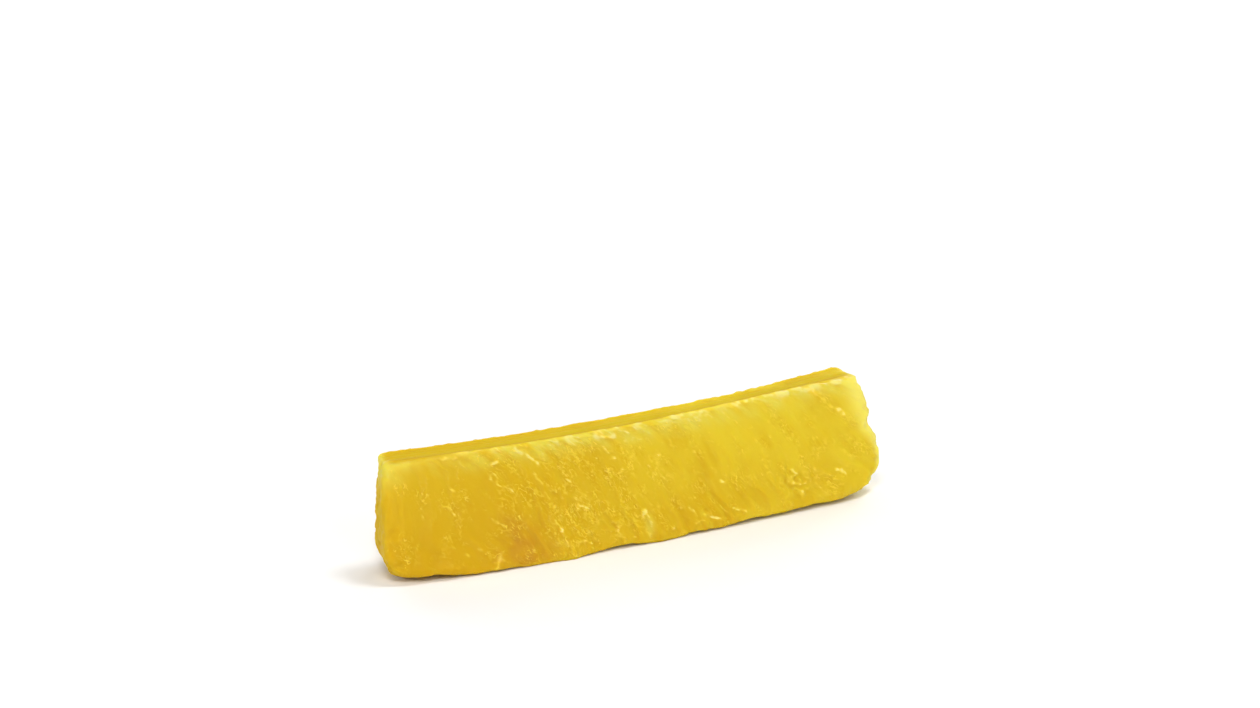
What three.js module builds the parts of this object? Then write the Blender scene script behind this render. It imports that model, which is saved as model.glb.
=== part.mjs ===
// A spear of peeled pineapple: one long wedge, cut lengthwise from the fruit between its core and its rind.
// It lies on its broad outer side, where the rind was, so the narrow side that the core left looks up.
// Millimetres, +Z up. X runs along the spear, and -Y is the cut face that looks forward.
// The origin is the middle of the base, on the surface that the spear lies on.
import * as THREE from "three";
import { mergeVertices } from "three/addons/utils/BufferGeometryUtils.js";

// Driving dimensions
const LENGTH = 145; // between the upper corners of the two end cuts
const DEPTH = 33.2; // from the rind side to the core side, at mid-length
const CORE_WIDTH = 9.3; // the narrow side, where the core was cut away
const RIND_WIDTH = 22; // the broad side, where the rind was cut away

// How the real fruit departs from a straight wedge
const DEPTH_TAPER = 0.025; // share of the depth gained at the +X end and lost at the -X end
const CORE_NARROWING = { x: 35, reach: 24, loss: 1.8 }; // a stretch where the core side is thinner
const CORE_HOLLOW = { height: 1, depthShare: 0.8 }; // the core was round, so its cut is a shallow channel
const RIND_CROWN = { height: 1.6, depthShare: 0.35 }; // the rind side's middle stands out past its long edges
const SIDE_BOW = 3; // the middle leans forward of the ends
const SAG = 1.3; // the ends stand higher than the middle
const REST_DEPTH = 1; // how much of the crown its own weight presses flat
const ROUNDING = { end: 2.4, side: 1.2, core: 1, rind: 2.4 };
const CORNER_ROUNDING = { end: 4.5, side: 3.2, core: 2.6, rind: 2.4 }; // at the front corners of the two ends
const CORNER_START = 50; // from here outwards the corner's rounding takes over

// The end cuts. Each swells past its upper corner and tapers to the rind side, as the fruit did.
// The -X end is cut askew, so the back of the spear is shorter. The +X end has a nick.
const FAR_END = { swell: 6.2, taper: 5.8, taperShare: 0.27, skew: 0, nick: 1.3 };
const NEAR_END = { swell: 0.8, taper: 2.5, taperShare: 0.25, skew: 0.37, nick: 0 };
const SWELL_SPAN = 1.4; // in depths: the swell is fullest at half of this below the core side
const SKEW_MIDDLE = 3.8; // along Y: where an askew end crosses the square cut
const NICK = { depthShare: 0.55, reach: 0.06, sharpness: 6 };
const END_REACH = 24; // how far in from an end its own shape is felt

// The front edge of the rind side: each bulge or bite has its place along X, its reach and how far it drops.
const LOWER_EDGE = [
  { x: -77, reach: 8, drop: -1 },
  { x: -42, reach: 17, drop: 0.75 },
  { x: -25, reach: 4, drop: 0.9 },
  { x: -10, reach: 4.5, drop: -0.5 },
  { x: 2, reach: 7, drop: 0.35 },
  { x: 37, reach: 10, drop: -0.3 },
  { x: 62, reach: 5, drop: 0.4 },
];
const LOWER_EDGE_DEPTH_SHARE = 0.4; // a bulge fades out this far up the front face
const LOWER_EDGE_PUSH = 0.6; // and it pushes this share of its drop forward

// Relief of the cut faces. Strands fan from the core to the rind: upright at the -X end, they lean towards +X
// more and more. They are gathered in bundles, and the bundles in fruitlets, which part more towards the rind.
const STRAND = { curl: 4.5, curlDepth: 5, sway: 1.6, swayPitch: 56 };
const LEAN = { near: 0.03, middle: 0.44, far: 0.7, middleFrom: -36, middleTo: 45, end: 74 };
const FRUITLET = { relief: 0.34, pitch: 13.5 };
const BUNDLE = { relief: 0.13, pitch: 4.3, drift: 0.35, driftPitch: 107 };
const RELIEF_AT_CORE = 0.45;

// Relief of the rind side, of the core side and of the two ends
const EYE = { pitch: 19, fromMiddle: 6, radius: 4, pit: 1 }; // hollows that the eyes leave in the rind side
const RIND_RIPPLE = { relief: 0.2, pitch: 35, width: 25 };
const CORE_GROOVE = { relief: 0.12, pitch: 3.3 };
const END_GRAIN = { relief: 0.22, pitch: 12 };
const END_WAVE = { relief: 0.2, pitch: 27 };

// Mesh: segments along the length, across the width and through the depth
const SEGMENTS = { length: 80, width: 10, depth: 18 };
const EDGE_CROWDING = 0.22; // rows of points stand closer together near the edges

const HALF_LENGTH = LENGTH / 2;
const { sin, cos, exp, abs, sign, max, hypot, round, PI } = Math;
const { lerp, clamp, smoothstep } = THREE.MathUtils;
const bump = (distance, reach) => exp(-((distance / reach) ** 2));
const crowded = (t) => t * (1 + EDGE_CROWDING) - EDGE_CROWDING * t ** 3;

// An uneven wave between about -1 and 1 with a main pitch. Each seed gives another one.
function wave(distance, pitch, seed) {
  const t = (2 * PI * distance) / pitch;
  return (sin(t + 1.7 * seed) + 0.6 * sin(2.3 * t + 4.1 * seed) + 0.4 * sin(5.1 * t + 7.3 * seed)) / 1.6;
}

// Half the spear's width at a place along it and a share of its depth: 0 is the rind side, 1 the core side.
function halfWidth(x, depthShare) {
  const core = CORE_WIDTH - CORE_NARROWING.loss * bump(x - CORE_NARROWING.x, CORE_NARROWING.reach);
  return lerp(RIND_WIDTH, core, depthShare) / 2;
}

// A block from -1 to 1 each way becomes the plain wedge, its edges rounded: a point within reach of an edge
// moves onto an ellipse round that edge. Gives the point, and the outward direction there.
function onWedge(along, across, through) {
  const x = along * HALF_LENGTH;
  const atCorner = smoothstep(-across, 0, 1) * smoothstep(abs(x), CORNER_START, HALF_LENGTH);
  const reach = ["end", "side", through > 0 ? "core" : "rind"].map((edge) =>
    lerp(ROUNDING[edge], CORNER_ROUNDING[edge], atCorner));
  const z = ((through + 1) / 2) * DEPTH;
  const half = halfWidth(x, z / DEPTH);
  const flat = [
    clamp(x, reach[0] - HALF_LENGTH, HALF_LENGTH - reach[0]),
    clamp(across * half, reach[1] - half, half - reach[1]),
    clamp(z, ROUNDING.rind, DEPTH - reach[2]),
  ];
  const past = [x, across * half, z].map((value, axis) => (value - flat[axis]) / reach[axis]);
  const normal = past.map((value) => value / hypot(...past));
  return { point: flat.map((value, axis) => value + reach[axis] * normal[axis]), normal };
}

// How far a strand runs along X for each millimetre outwards
function lean(x) {
  const toMiddle = lerp(LEAN.near, LEAN.middle, smoothstep(x, -LEAN.end, LEAN.middleFrom));
  return lerp(toMiddle, LEAN.far, smoothstep(x, LEAN.middleTo, LEAN.end));
}

// The two broad cut faces: each strand is known by where it left the core side, along X.
function cutRelief(x, z, seed) {
  const fromCore = DEPTH - z;
  const curl = STRAND.curl * (1 - exp(-fromCore / STRAND.curlDepth));
  const start = x - lean(x) * fromCore - curl + STRAND.sway * wave(z, STRAND.swayPitch, seed);
  const drift = BUNDLE.drift * BUNDLE.pitch * wave(x, BUNDLE.driftPitch, seed + 3);
  const fruitlets = FRUITLET.relief * wave(start, FRUITLET.pitch, seed);
  const bundles = BUNDLE.relief * sin((2 * PI * (start + drift)) / BUNDLE.pitch);
  return lerp(RELIEF_AT_CORE, 1, smoothstep(fromCore, 0, DEPTH)) * (fruitlets + bundles);
}

// The rind side: two staggered rows of hollows where the eyes sat.
function rindRelief(x, y) {
  let height = RIND_RIPPLE.relief * wave(x, RIND_RIPPLE.pitch, 2) * cos((2 * PI * y) / RIND_RIPPLE.width);
  for (const row of [-1, 1]) {
    const alongRow = x - (row * EYE.pitch) / 4;
    const fromEye = alongRow - EYE.pitch * round(alongRow / EYE.pitch);
    height -= EYE.pit * bump(hypot(fromEye, y - row * EYE.fromMiddle), EYE.radius);
  }
  return height;
}

// Height above the plain wedge, along the outward direction.
function relief([x, y, z], [nx, ny, nz]) {
  const cut = cutRelief(x, z, ny < 0 ? 1 : 5);
  const core = CORE_GROOVE.relief * wave(y, CORE_GROOVE.pitch, 4);
  const end = END_GRAIN.relief * wave(y, END_GRAIN.pitch, 6) + END_WAVE.relief * wave(z, END_WAVE.pitch, 7);
  return nx ** 2 * end + ny ** 2 * cut + nz ** 2 * (nz < 0 ? rindRelief(x, y) : core);
}

// How far the end cuts move a point outwards along X.
function endShift(x, y, depthShare) {
  const end = x < 0 ? NEAR_END : FAR_END;
  const atEnd = smoothstep(abs(x), HALF_LENGTH - END_REACH, HALF_LENGTH);
  const swell = end.swell * sin((PI * (1 - depthShare)) / SWELL_SPAN);
  const taper = end.taper * max(0, 1 - depthShare / end.taperShare) ** 2;
  const skew = end.skew * (y - SKEW_MIDDLE);
  const nick = end.nick * bump(depthShare - NICK.depthShare, NICK.reach) * atEnd ** NICK.sharpness;
  return (swell - taper - skew) * atEnd - nick;
}

// The form that the cuts, the fruit's own shape and its weight give to a point of the wedge.
function formed([x, y, z]) {
  const depthShare = z / DEPTH;
  const side = y / halfWidth(x, depthShare); // -1 is the front face, 1 the back
  z -= CORE_HOLLOW.height * max(0, 1 - side ** 2) * smoothstep(depthShare, CORE_HOLLOW.depthShare, 1);
  z += RIND_CROWN.height * side ** 2 * (1 - smoothstep(depthShare, 0, RIND_CROWN.depthShare));
  x += sign(x) * endShift(x, y, depthShare);
  const station = x / HALF_LENGTH;
  z *= 1 + DEPTH_TAPER * station;
  const atLowerEdge = smoothstep(-side, 0, 1) * (1 - smoothstep(depthShare, 0, LOWER_EDGE_DEPTH_SHARE));
  for (const edge of LOWER_EDGE) {
    const drop = edge.drop * bump(x - edge.x, edge.reach) * atLowerEdge;
    z -= drop;
    y -= drop * LOWER_EDGE_PUSH;
  }
  return [x, y - SIDE_BOW * (1 - station ** 2), max(z + SAG * station ** 2, REST_DEPTH)];
}

function spearGeometry() {
  const block = new THREE.BoxGeometry(2, 2, 2, SEGMENTS.length, SEGMENTS.width, SEGMENTS.depth);
  block.deleteAttribute("normal");
  block.deleteAttribute("uv");
  const spear = mergeVertices(block);
  const points = spear.getAttribute("position");
  for (let i = 0; i < points.count; i++) {
    const place = [points.getX(i), points.getY(i), points.getZ(i)].map(crowded);
    const { point, normal } = onWedge(...place);
    const height = relief(point, normal);
    points.setXYZ(i, ...formed(point.map((value, axis) => value + height * normal[axis])));
  }
  spear.computeBoundingBox();
  const { min, max: top } = spear.boundingBox;
  spear.translate(-(min.x + top.x) / 2, -(min.y + top.y) / 2, -min.z);
  spear.computeVertexNormals();
  return spear;
}

const flesh = new THREE.MeshStandardMaterial({ color: 0xe3bd2c, roughness: 0.35, metalness: 0 });
const spear = new THREE.Mesh(spearGeometry(), flesh);
spear.name = "pineapple_spear";

const group = new THREE.Group();
group.add(spear);

export default group;
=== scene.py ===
# %% [markdown]
# # A spear of peeled pineapple
# The object is one piece of fruit: a long wedge of wet golden flesh, cut lengthwise between the core and
# the rind. Its solid already exists at the true size. Here it gets what makes it look like fruit: fine
# strands, torn spots, eye hollows, a see-through flesh and a coat of juice. The work is done in
# millimetres, which suit a small thing, and turned into Blender's metres at the end.

# %% Tools, and the solid that fixes the size
import math
import random

import bmesh
import bpy
import numpy as np
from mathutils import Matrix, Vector, noise


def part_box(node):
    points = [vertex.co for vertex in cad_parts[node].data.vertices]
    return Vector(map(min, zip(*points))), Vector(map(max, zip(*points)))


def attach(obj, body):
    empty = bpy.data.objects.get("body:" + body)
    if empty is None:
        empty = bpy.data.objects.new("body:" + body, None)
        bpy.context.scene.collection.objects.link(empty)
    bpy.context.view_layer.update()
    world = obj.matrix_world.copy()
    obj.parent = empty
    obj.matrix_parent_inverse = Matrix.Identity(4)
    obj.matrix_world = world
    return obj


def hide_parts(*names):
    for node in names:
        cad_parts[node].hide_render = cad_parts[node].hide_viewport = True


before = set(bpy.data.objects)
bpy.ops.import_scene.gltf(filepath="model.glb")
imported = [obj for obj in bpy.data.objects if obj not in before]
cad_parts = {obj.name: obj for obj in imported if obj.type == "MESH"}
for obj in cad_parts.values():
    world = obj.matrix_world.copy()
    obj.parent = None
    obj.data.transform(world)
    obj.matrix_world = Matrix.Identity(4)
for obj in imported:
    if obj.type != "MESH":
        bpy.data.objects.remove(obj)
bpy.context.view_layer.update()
MM = 0.001
low, high = (np.array(corner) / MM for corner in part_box("pineapple_spear"))
print("The solid is", (high - low).round(1), "mm")

# %% [markdown]
# ## Small helpers
# Every form below is a sum of soft steps, bumps and uneven waves. They are written for whole arrays of
# points, because a loop over a hundred thousand points for each of them would be slow. Only Blender's own
# noise is asked point by point; it gives a natural unevenness that never repeats.

# %% Steps, bumps, waves and noise
WAVE_PARTS = [(1, 1, 1.7), (2.3, 0.6, 4.1), (5.1, 0.4, 7.3)]  # each part's pace, height and shift per seed
WAVE_HEIGHT = 1.6
SEED_STEP = 17.3  # two seeds read the noise this far apart


def soft_step(value, start, end):
    t = np.clip((value - start) / (end - start), 0, 1)
    return t * t * (3 - 2 * t)


def bump(distance, reach):
    return np.exp(-((distance / reach) ** 2))


def wave(distance, pitch, seed):
    """An uneven wave between about -1 and 1 with a main pitch. Each seed gives another one."""
    t = 2 * math.pi * distance / pitch
    parts = (height * np.sin(pace * t + shift * seed) for pace, height, shift in WAVE_PARTS)
    return sum(parts) / WAVE_HEIGHT


def grain(seed, *stretched):
    """Blender's noise, about -1 to 1, at many points. Each coordinate is divided by the grain's size."""
    points = np.stack(np.broadcast_arrays(*stretched), axis=1) + SEED_STEP * seed
    return np.array([noise.noise(point) for point in points.tolist()])


def crest(values):
    """Turns a smooth noise into long crests where it crosses zero, as fibres have: 0 to 1."""
    return soft_step(1 - 2 * np.abs(values), 0, 1)


print("noise at one point:", round(noise.noise((0.3, 0.2, 0.1)), 3))

# %% [markdown]
# ## The block that becomes the spear
# The spear has six sides: two broad cut faces, the core side, the rind side and two ends. A cube has six
# sides too, so a finely subdivided cube is the natural start: its rows and columns stay tidy however it
# is bent. A remesh or a sculpt would give the same outline, but without columns that can follow the
# strands. The rows stand closer together near the edges, where the surface turns.

# %% A cube, subdivided along each axis
BLOCK_STEPS = (392, 32, 84)  # along the spear, across it and from rind to core
CROWDING = (0.1, 0.2, 0.22)  # how much closer the rows stand at the edges


def subdivided_block(steps):
    block = bmesh.new()
    bmesh.ops.create_cube(block, size=2)
    for axis, count in enumerate(steps):
        along_axis = [e for e in block.edges if abs(e.verts[0].co[axis] - e.verts[1].co[axis]) > 1]
        bmesh.ops.subdivide_edges(block, edges=along_axis, cuts=count - 1, use_grid_fill=True)
    return block


block = subdivided_block(BLOCK_STEPS)
mesh = bpy.data.meshes.new("pineapple_flesh")
block.to_mesh(mesh)
block.free()
corners = np.empty(len(mesh.vertices) * 3)
mesh.vertices.foreach_get("co", corners)
along, across, through = (
    t * (1 + crowd) - crowd * t**3 for t, crowd in zip(corners.reshape(-1, 3).T, CROWDING)
)
print(len(mesh.vertices), "points and", 2 * len(mesh.polygons), "triangles")

# %% [markdown]
# ## How the strands run
# Pineapple flesh is a bundle of strands. They leave the core bent along its length, turn outwards and fan
# towards the rind. One number names a strand: where it left the core, in millimetres along the spear.
# Colour, relief and the columns of the block all use it, so that they agree. The fan is upright at the
# left end and leans more and more to the right.

# %% The strands' course
DEPTH = 33.2  # flesh from core to rind
HALF_LENGTH = 72.5
CURL = 4.5  # how far a strand runs along the core before it turns outwards
CURL_DEPTH = 5
LEAN_LEFT, LEAN_MIDDLE, LEAN_RIGHT = 0.03, 0.44, 0.7  # along the spear for each millimetre outwards
LEFT_FAN, RIGHT_FAN = (-74, -36), (45, 74)  # where the lean grows from one to the next


def lean(x):
    to_middle = LEAN_LEFT + (LEAN_MIDDLE - LEAN_LEFT) * soft_step(x, *LEFT_FAN)
    return to_middle + (LEAN_RIGHT - to_middle) * soft_step(x, *RIGHT_FAN)


def strand_of(x, from_core):
    """Where the strand through a point left the core."""
    return x - lean(x) * from_core - CURL * (1 - np.exp(-from_core / CURL_DEPTH))


print("the lean at the left, middle and right:", [round(float(lean(np.array(x))), 2) for x in (-72, 0, 72)])

# %% [markdown]
# ## From block to wedge
# A point's place on the block decides its place on the spear. First the columns are sheared to follow the
# strands, which keeps a fine crest crisp instead of stepped. Then the block narrows from rind to core. A
# point within reach of an edge moves onto an ellipse round that edge. A Bevel modifier could round the
# edges as well, but it would not keep the even columns.

# %% The wedge and its outward directions
RIND_WIDTH = 22
CORE_WIDTH = 9.3
CORE_NARROWING = {"x": 35, "reach": 24, "loss": 1.8}
ROUNDING = {"end": 2.4, "side": 1.2, "core": 1, "rind": 2.4}
CORNER_ROUNDING = {"end": 4.5, "side": 3.2, "core": 2.6, "rind": 2.4}  # at the ends' front corners
CORNER_START = 50


def half_width(x, depth_share):
    core = CORE_WIDTH - CORE_NARROWING["loss"] * bump(x - CORE_NARROWING["x"], CORE_NARROWING["reach"])
    return (RIND_WIDTH + (core - RIND_WIDTH) * depth_share) / 2


def on_wedge(along, across, through):
    height = (through + 1) / 2 * DEPTH
    sheared = -strand_of(np.zeros_like(height), DEPTH - height) + strand_of(0, DEPTH / 2)
    x = along * HALF_LENGTH + sheared * (1 - along**4)  # the two ends stay square
    half = half_width(x, height / DEPTH)
    at_corner = soft_step(-across, 0, 1) * soft_step(np.abs(x), CORNER_START, HALF_LENGTH)
    end, side, core, rind = (
        ROUNDING[edge] + (CORNER_ROUNDING[edge] - ROUNDING[edge]) * at_corner for edge in ROUNDING
    )
    reach = np.stack([end, side, np.where(through > 0, core, rind)])
    place = np.stack([x, across * half, height])
    flat = np.clip(
        place,
        np.stack([end - HALF_LENGTH, side - half, rind]),
        np.stack([HALF_LENGTH - end, half - side, DEPTH - core]),
    )
    past = (place - flat) / reach
    outward = past / np.linalg.norm(past, axis=0)
    return flat + reach * outward, outward


wedge, outward = on_wedge(along, across, through)
print("the plain wedge is", np.ptp(wedge, axis=1).round(1), "mm")

# %% [markdown]
# ## The main relief
# Fruitlets, the units that the fruit grew from, swell a little between their borders, and bundles of
# strands make ridges on them. Round hollows in the rind side show where the eyes were cut out. These are
# large enough to belong to the form, so they repeat the solid's own numbers.

# %% Fruitlets, bundles and eyes
FRUITLET = {"relief": 0.34, "pitch": 13.5}
BUNDLE = {"relief": 0.13, "pitch": 4.3, "drift": 0.35, "drift_pitch": 107}
SWAY = {"along": 1.6, "pitch": 56}
RELIEF_AT_CORE = 0.45
EYE = {"pitch": 19, "from_middle": 6, "radius": 4, "pit": 1}
RIND_RIPPLE = {"relief": 0.2, "pitch": 35, "width": 25}
CORE_GROOVE = {"relief": 0.12, "pitch": 3.3}
END_GRAIN = {"relief": 0.22, "pitch": 12}
END_WAVE = {"relief": 0.2, "pitch": 27}


def cut_relief(x, z, seed):
    start = strand_of(x, DEPTH - z) + SWAY["along"] * wave(z, SWAY["pitch"], seed)
    drift = BUNDLE["drift"] * BUNDLE["pitch"] * wave(x, BUNDLE["drift_pitch"], seed + 3)
    fruitlets = FRUITLET["relief"] * wave(start, FRUITLET["pitch"], seed)
    bundles = BUNDLE["relief"] * np.sin(2 * math.pi * (start + drift) / BUNDLE["pitch"])
    return (RELIEF_AT_CORE + (1 - RELIEF_AT_CORE) * soft_step(DEPTH - z, 0, DEPTH)) * (fruitlets + bundles)


def rind_relief(x, y):
    ripple = RIND_RIPPLE["relief"] * wave(x, RIND_RIPPLE["pitch"], 2)
    height = ripple * np.cos(2 * math.pi * y / RIND_RIPPLE["width"])
    for row in (-1, 1):
        along_row = x - row * EYE["pitch"] / 4
        from_eye = along_row - EYE["pitch"] * np.round(along_row / EYE["pitch"])
        height -= EYE["pit"] * bump(np.hypot(from_eye, y - row * EYE["from_middle"]), EYE["radius"])
    return height


def main_relief(place, outward):
    x, y, z = place
    to_end, to_cut, to_rim = outward**2
    cut = np.where(outward[1] < 0, cut_relief(x, z, 1), cut_relief(x, z, 5))
    end = END_GRAIN["relief"] * wave(y, END_GRAIN["pitch"], 6)
    end = end + END_WAVE["relief"] * wave(z, END_WAVE["pitch"], 7)
    core = CORE_GROOVE["relief"] * wave(y, CORE_GROOVE["pitch"], 4)
    return to_end * end + to_cut * cut + to_rim * np.where(outward[2] < 0, rind_relief(x, y), core)


relief = main_relief(wedge, outward)
print("the main relief is", round(float(relief.min()), 2), "to", round(float(relief.max()), 2), "mm")

# %% [markdown]
# ## The form that the knife and the fruit gave
# The core was round, so its cut is a shallow channel, and the rind side bulges. Each end was cut on its
# own: the right one swells past its upper corner and has a nick, the left one is a little askew. The
# whole spear is bowed and sags onto its middle, where its weight presses it flat. Each is one line of
# arithmetic on the points. Lattice or Simple Deform modifiers do such things too, but numbers can match
# the solid exactly.

# %% Channel, crown, ends, bow and resting place
CORE_HOLLOW = {"height": 1, "depth_share": 0.8}
RIND_CROWN = {"height": 1.6, "depth_share": 0.35}
RIGHT_END = {"swell": 6.2, "taper": 5.8, "taper_share": 0.27, "skew": 0, "nick": 1.9}
LEFT_END = {"swell": 0.8, "taper": 2.5, "taper_share": 0.25, "skew": 0.37, "nick": 0}
SWELL_SPAN = 1.4
SKEW_MIDDLE = 3.8
NICK = {"depth_share": 0.55, "reach": 0.06, "sharpness": 6}
NICK_COURSE = {"front": -8, "drift": 0.045, "pitch": 15, "drift_to": 0, "fade": 0.75, "fade_to": 4}
END_REACH = 24
DEPTH_TAPER = 0.025
SIDE_BOW = 3
SAG = 1.3
REST_DEPTH = 1
LOWER_EDGE = [  # place along the spear, reach and drop of each bulge or bite
    (-77, 8, -1), (-42, 17, 0.75), (-25, 4, 0.9), (-10, 4.5, -0.5),
    (2, 7, 0.35), (37, 10, -0.3), (62, 5, 0.4),
]
LOWER_EDGE_DEPTH_SHARE = 0.4
LOWER_EDGE_PUSH = 0.6


def end_shift(x, y, depth_share, end):
    at_end = soft_step(np.abs(x), HALF_LENGTH - END_REACH, HALF_LENGTH)
    swell = end["swell"] * np.sin(math.pi * (1 - depth_share) / SWELL_SPAN)
    taper = end["taper"] * np.maximum(0, 1 - depth_share / end["taper_share"]) ** 2
    skew = end["skew"] * (y - SKEW_MIDDLE)
    drift = NICK_COURSE["drift"] * wave(y, NICK_COURSE["pitch"], 8)
    nick_share = NICK["depth_share"] + drift * soft_step(y, NICK_COURSE["front"], NICK_COURSE["drift_to"])
    nick = end["nick"] * bump(depth_share - nick_share, NICK["reach"]) * at_end ** NICK["sharpness"]
    shallower = soft_step(y, NICK_COURSE["front"], NICK_COURSE["fade_to"])
    nick *= 1 - NICK_COURSE["fade"] * shallower  # deep at the front, shallow at the back
    return (swell - taper - skew) * at_end - nick


def formed(place):
    x, y, z = place
    depth_share = z / DEPTH
    side = y / half_width(x, depth_share)  # -1 is the front face, 1 the back
    hollow = np.maximum(0, 1 - side**2) * soft_step(depth_share, CORE_HOLLOW["depth_share"], 1)
    crown = side**2 * (1 - soft_step(depth_share, 0, RIND_CROWN["depth_share"]))
    z = z - CORE_HOLLOW["height"] * hollow + RIND_CROWN["height"] * crown
    left_shift, right_shift = (end_shift(x, y, depth_share, end) for end in (LEFT_END, RIGHT_END))
    x = x + np.where(x < 0, -left_shift, right_shift)
    station = x / HALF_LENGTH
    z = z * (1 + DEPTH_TAPER * station)
    at_lower_edge = soft_step(-side, 0, 1) * (1 - soft_step(depth_share, 0, LOWER_EDGE_DEPTH_SHARE))
    drop = sum(depth * bump(x - middle, reach) for middle, reach, depth in LOWER_EDGE) * at_lower_edge
    y = y - LOWER_EDGE_PUSH * drop - SIDE_BOW * (1 - station**2)
    z = z - drop + SAG * station**2
    return np.stack([x, y, np.maximum(z, REST_DEPTH)])


form = formed(wedge + relief * outward)
form_low, form_high = form.min(axis=1), form.max(axis=1)
form = ((form.T - form_low) / (form_high - form_low) * (high - low) + low).T
mesh.vertices.foreach_set("co", form.T.ravel())
mesh.update()
normals = np.empty(len(mesh.vertices) * 3)
mesh.vertices.foreach_get("normal", normals)
normals = normals.reshape(-1, 3).T
print("the form is fitted to", (form.max(axis=1) - form.min(axis=1)).round(1), "mm")

# %% [markdown]
# ## Where each kind of surface is
# The fine detail differs from side to side, so each side gets a weight from 0 to 1 that fades over the
# rounded edges. The outward directions of the plain wedge say which side a point is on.

# %% Weights of the sides, and coordinates on them
X, Y, Z = form
from_core = DEPTH - wedge[2]
strand = strand_of(X, from_core)
front = np.maximum(0, -outward[1]) ** 2
back = np.maximum(0, outward[1]) ** 2
core_side = np.maximum(0, outward[2]) ** 2
rind_side = np.maximum(0, -outward[2]) ** 2
ends = outward[0] ** 2
cut = front + back
print("points on the front:", int((front > 0.5).sum()), "on the ends:", int((ends > 0.5).sum()))

# %% [markdown]
# ## Strands in the cut faces
# A knife leaves pineapple almost flat, but not quite: strands stand proud as thin crests that come and
# go, and the juicy cells between them sink. A crest is made from smooth noise, stretched along the strand
# and folded at zero. The same crests later colour the flesh paler, because strands are whiter than cells.

# %% Crests, cells and their patchy strength
STRANDS = [((4.4, 6, 11), 0.1), ((2.2, 6, 5), 0.045)]  # a strand's width, depth and length, and its height
CREST_MEAN = 0.3  # crests rise above this, valleys sink below it
CELL = {"width": 1.3, "length": 2.4, "relief": 0.07}
PATCHES = {"grain": (8, 8, 8), "mean": 0.4, "contrast": 1.7, "least": 0.05, "most": 1.3}
PLAIN_LEFT = {"from": -45, "to": 15, "share": 0.35}  # left of the middle the strands hardly show
WANDER = {"grain": (9, 9, 6), "far": 1.5}  # strands aren't ruled lines


def grain_in_place(seed, length, width, height):
    """A noise of grains that lie along the spear."""
    return grain(seed, X / length, Y / width, Z / height)


def grain_on_strands(seed, width, depth, length):
    """A noise of grains that lie along the strands."""
    return grain(seed, strand / width, Y / depth, from_core / length)


patchiness = PATCHES["mean"] + PATCHES["contrast"] * grain_on_strands(1, *PATCHES["grain"])
patchiness = np.clip(patchiness, PATCHES["least"], PATCHES["most"])
shown = soft_step(X, PLAIN_LEFT["from"], PLAIN_LEFT["to"])
patchiness *= PLAIN_LEFT["share"] + (1 - PLAIN_LEFT["share"]) * shown
wander = WANDER["far"] * grain_in_place(12, *WANDER["grain"])
crests = np.zeros_like(X)
fine = np.zeros_like(X)
for seed, ((width, depth, length), height) in enumerate(STRANDS, start=2):
    crests_here = crest(grain(seed, (strand + wander) / width, Y / depth, from_core / length))
    crests += crests_here * patchiness / len(STRANDS)
    fine += height * (crests_here - CREST_MEAN) * patchiness
fine += CELL["relief"] * grain_on_strands(5, CELL["width"], CELL["width"], CELL["length"])
fine *= cut
print("strand relief is", round(float(fine.min()), 2), "to", round(float(fine.max()), 2), "mm")

# %% [markdown]
# ## Torn threads
# Where the knife pulled at the flesh instead of slicing it, thin threads stand up in short crooked lines
# and loops, and each catches the light. The places where a noise is near zero form just such lines. A
# second, slower noise lets them through only here and there, most of all left of the middle.

# %% Crooked threads, in patches
THREAD = {"size": 1.9, "depth": 2, "stretch": 1.3, "sharpness": 5, "relief": 0.22, "on_ends": 0.4}
THREAD_PATCH = {"grain": (4.2, 4, 4.2), "gate": (0.22, 0.5)}
THREAD_BREAK = {"grain": (1.2, 2, 1.2), "gate": (-0.15, 0.25)}  # leaves short bits of each thread
TORN_MOST = {"x": -18, "reach": 22, "share": 0.33}
TORN_ELSEWHERE = 0.03

torn_share = TORN_ELSEWHERE + TORN_MOST["share"] * bump(X - TORN_MOST["x"], TORN_MOST["reach"])
along_thread = from_core / THREAD["size"] / THREAD["stretch"]
thread_field = grain(13, strand / THREAD["size"], Y / THREAD["depth"], along_thread)
let_through = grain_on_strands(14, *THREAD_PATCH["grain"]) + torn_share
threads = np.maximum(0, 1 - THREAD["sharpness"] * np.abs(thread_field))
threads *= soft_step(let_through, *THREAD_PATCH["gate"])
threads *= cut + THREAD["on_ends"] * ends
threads *= soft_step(grain_in_place(19, *THREAD_BREAK["grain"]), *THREAD_BREAK["gate"])
fine += THREAD["relief"] * threads
print("points on threads:", int((threads > 0.5).sum()))

# %% [markdown]
# ## The channel and its two lips
# Along the channel that the core left, fibres run lengthwise. Its front edge is a pale, ragged lip with a
# sharp groove behind it, and its back edge is a lower one. A lip could be a ring of faces, extruded and
# pulled about. Here it is a bump that follows the edge, times an uneven noise that breaks it into
# tatters, so it runs along the whole spear without a seam. Its thickness and its gaps change along the
# spear.

# %% Grooves, front lip and back lip
GROOVE = {"width": 1.4, "length": 13, "relief": 0.11}
LIP = {"behind": 1.5, "groove_width": 0.6, "groove": 0.3, "lap": 0.7, "relief": 0.26}
LIP_REACH = {"thin": 1.3, "thick": 2.6, "grows": (-62, -35), "grain": 6, "unevenness": 0.5}
LIP_GAP = {"grain": 4.5, "left": 0.3, "gate": (-0.25, 0.2), "closing": 0.2, "closes": (20, 40)}
BACK_LIP = {"reach": 1.6, "top_share": 0.3, "relief": 0.18, "paleness": 0.6}
TATTERS = {"mean": 0.62, "contrast": 1.3, "most": 1.4, "long": (4, 2.5), "short": (1.4, 0.9)}

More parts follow.
